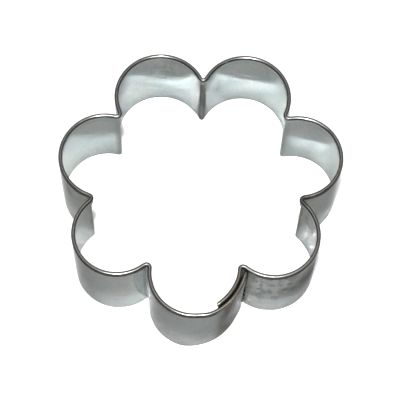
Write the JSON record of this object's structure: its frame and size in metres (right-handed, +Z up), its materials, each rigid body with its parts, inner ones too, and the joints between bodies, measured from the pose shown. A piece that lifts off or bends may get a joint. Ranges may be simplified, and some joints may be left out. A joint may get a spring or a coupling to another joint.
{
  "type": "flower pastry cutter",
  "caption": "Flower-shaped pastry cutter bent from one hemmed tinplate strip, with lapped ends joined by two spot welds.",
  "frame": {"origin": "middle of the flower's box, on the plane of the cutting edge", "axes": "+Z up from the cutting edge to the hem; -Y towards the front lobe, which holds the lap; +X to the right"},
  "size_m": [0.0616, 0.061, 0.022],
  "materials": {
    "tinplate": "bright rolled tinplate, lightly scuffed",
    "weld_metal": "heat-tinted, dull"
  },
  "bodies": {
    "root": {"formed_strip": "tinplate", "lower_spot_weld": "weld_metal", "upper_spot_weld": "weld_metal"}
  },
  "joints": []
}
